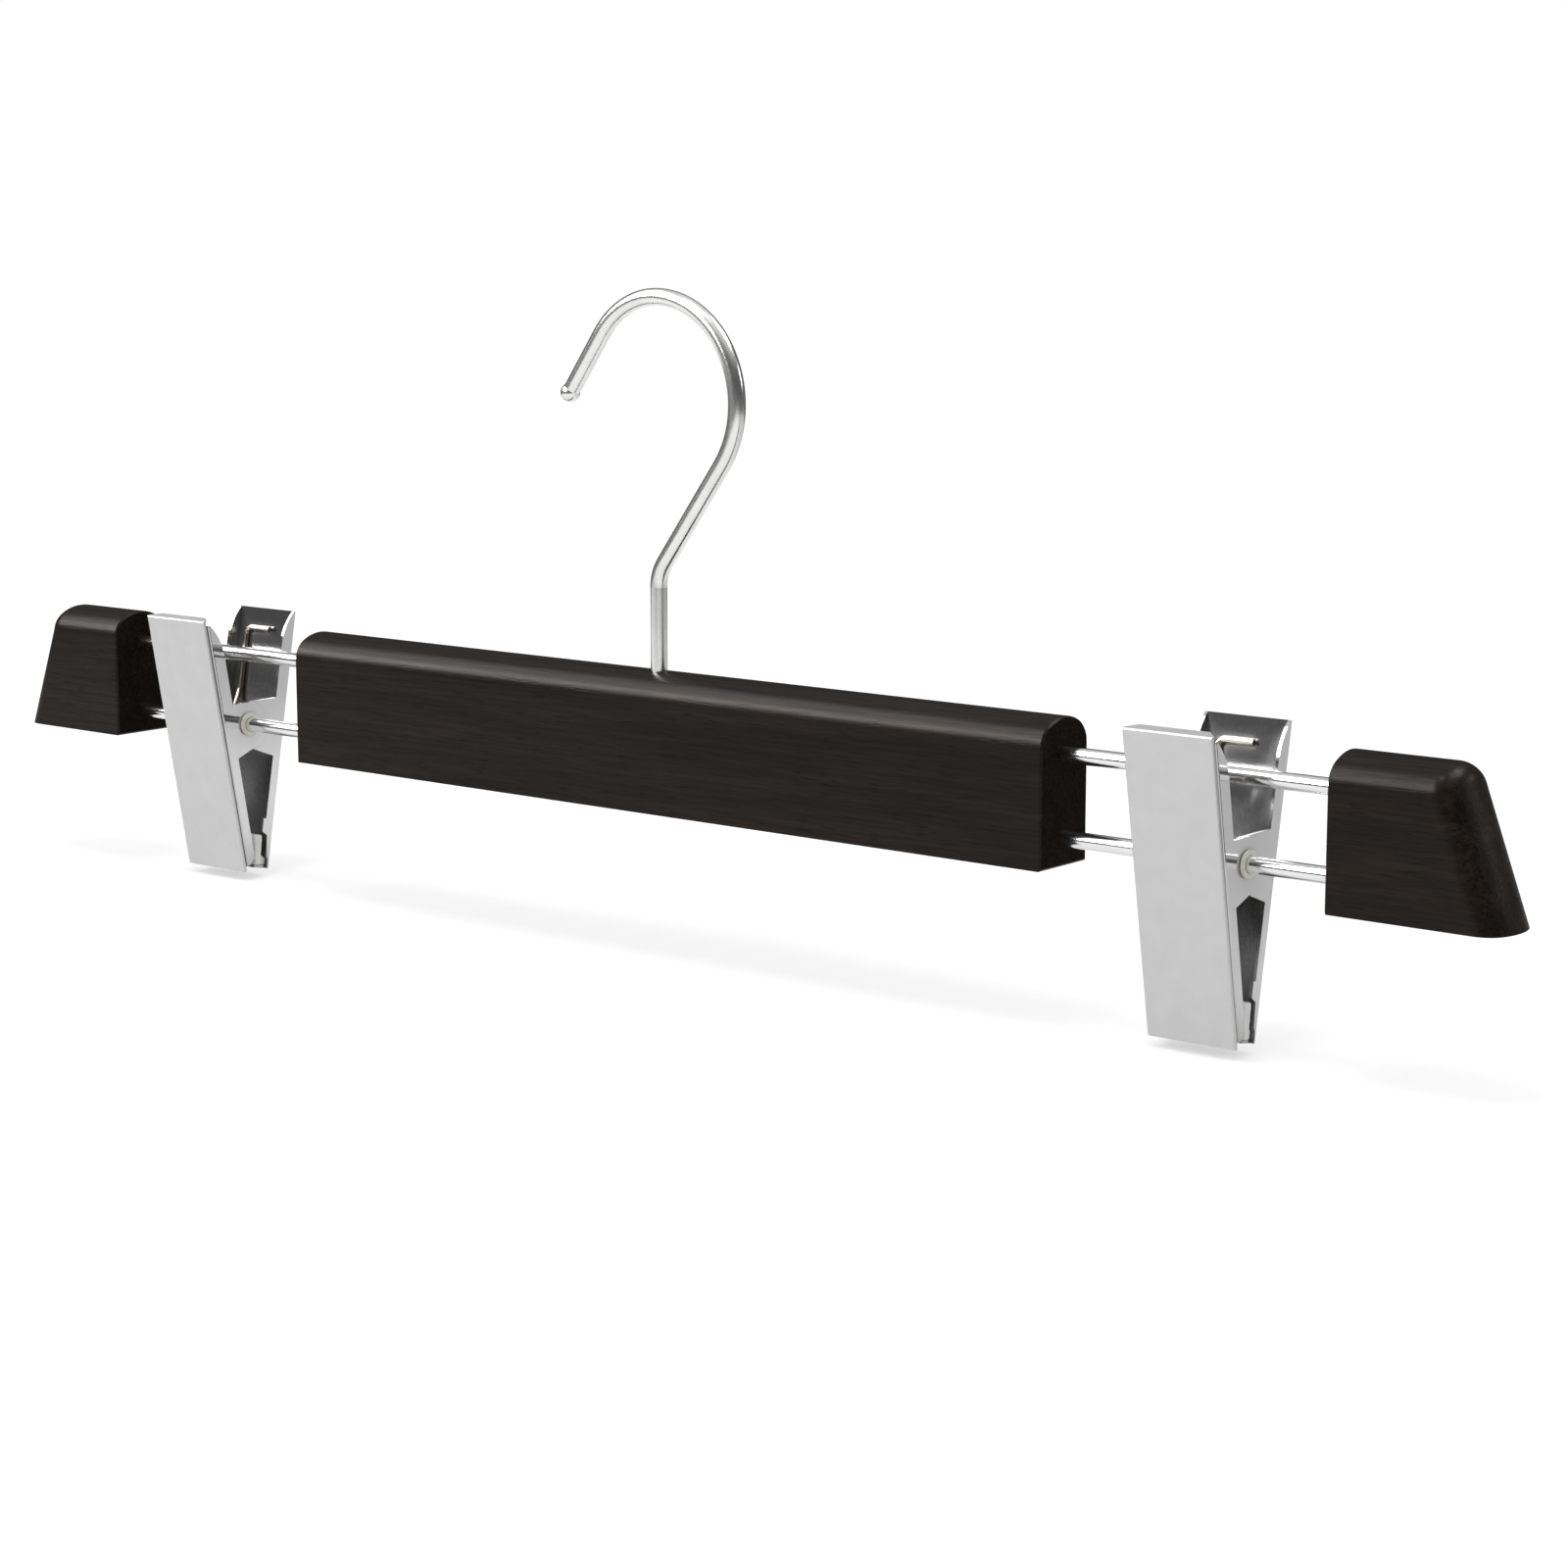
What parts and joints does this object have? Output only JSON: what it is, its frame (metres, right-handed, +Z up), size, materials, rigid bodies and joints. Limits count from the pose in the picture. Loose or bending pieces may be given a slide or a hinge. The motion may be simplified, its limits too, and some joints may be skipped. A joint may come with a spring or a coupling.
{
  "type": "skirt hanger",
  "caption": "Skirt hanger: a dark wooden bar under a swivelling wire hook, with wooden ends on rods along which sprung metal clips slide.",
  "frame": {"origin": "where the hook's curve sits on a rail, at the top of its inner side", "axes": "+Z up, +X along the bar, the clips' covered fronts face -Y"},
  "size_m": [0.3632, 0.0269, 0.1259],
  "materials": {
    "hook_wire": "satin chrome plate on bent wire",
    "rod_chrome": "polished chrome plate",
    "wood": "dark stained wood, satin lacquer, fine grain along the bar",
    "steel_sheet": "bright plated sheet",
    "cover_sheet": "satin plated sheet",
    "spring_wire": "bright nickel plated wire",
    "bush_plastic": "translucent natural plastic",
    "soft_pad": "translucent soft plastic"
  },
  "bodies": {
    "hook": {"hook": "hook_wire", "hook_washer": "steel_sheet", "hook_nut": "steel_sheet"},
    "bar": {"center_bar": "wood", "left_end_cap": "wood", "right_end_cap": "wood", "left_upper_rod": "rod_chrome", "left_lower_rod": "rod_chrome", "right_upper_rod": "rod_chrome", "right_lower_rod": "rod_chrome"},
    "right_slider": {"right_outer_bush": "bush_plastic", "right_inner_bush": "bush_plastic"},
    "right_clip": {"right_spring": "spring_wire"},
    "right_front_jaw": {"right_front_jaw": "steel_sheet", "right_front_cover": "cover_sheet", "right_front_pad": "soft_pad"},
    "right_rear_jaw": {"right_rear_jaw": "steel_sheet", "right_rear_pad": "soft_pad"},
    "left_slider": {"left_outer_bush": "bush_plastic", "left_inner_bush": "bush_plastic"},
    "left_clip": {"left_spring": "spring_wire"},
    "left_front_jaw": {"left_front_jaw": "steel_sheet", "left_front_cover": "cover_sheet", "left_front_pad": "soft_pad"},
    "left_rear_jaw": {"left_rear_jaw": "steel_sheet", "left_rear_pad": "soft_pad"}
  },
  "joints": [
    {"name": "hook_swivel", "type": "hinge", "parent": "hook", "child": "bar", "pos_m": [0, 0, -0.06], "axis": [0, 0, 1], "continuous": true},
    {"name": "right_clip_slide", "type": "slide", "parent": "bar", "child": "right_slider", "axis": [1, 0, 0], "range_m": [-0.0185, 0.0175]},
    {"name": "right_clip_swing", "type": "hinge", "parent": "right_slider", "child": "right_clip", "pos_m": [0.1218, 0, -0.09046], "axis": [1, 0, 0], "range_deg": [-4, 4]},
    {"name": "right_clip_open", "type": "hinge", "parent": "right_clip", "child": "right_front_jaw", "pos_m": [0.1218, 0, -0.09046], "axis": [-1, 0, 0], "range_deg": [0, 12.5], "stiffness_Nm_per_rad": 0.02, "springref_deg": -11.46, "deforming": ["right_spring"]},
    {"name": "right_rear_jaw_open", "type": "hinge", "parent": "right_clip", "child": "right_rear_jaw", "pos_m": [0.1218, 0, -0.09046], "axis": [1, 0, 0], "range_deg": [0, 20], "stiffness_Nm_per_rad": 0.02, "springref_deg": -11.46, "deforming": ["right_spring"]},
    {"name": "left_clip_slide", "type": "slide", "parent": "bar", "child": "left_slider", "axis": [1, 0, 0], "range_m": [-0.0147, 0.0213]},
    {"name": "left_clip_swing", "type": "hinge", "parent": "left_slider", "child": "left_clip", "pos_m": [-0.12465, 0, -0.09046], "axis": [1, 0, 0], "range_deg": [-4, 4]},
    {"name": "left_clip_open", "type": "hinge", "parent": "left_clip", "child": "left_front_jaw", "pos_m": [-0.12465, 0, -0.09046], "axis": [-1, 0, 0], "range_deg": [0, 12.5], "stiffness_Nm_per_rad": 0.02, "springref_deg": -11.46, "deforming": ["left_spring"]},
    {"name": "left_rear_jaw_open", "type": "hinge", "parent": "left_clip", "child": "left_rear_jaw", "pos_m": [-0.12465, 0, -0.09046], "axis": [1, 0, 0], "range_deg": [0, 20], "stiffness_Nm_per_rad": 0.02, "springref_deg": -11.46, "deforming": ["left_spring"]}
  ],
  "couplings": [
    {"joint": "right_rear_jaw_open", "follows": "right_clip_open", "ratio": 1.6},
    {"joint": "left_rear_jaw_open", "follows": "left_clip_open", "ratio": 1.6}
  ]
}
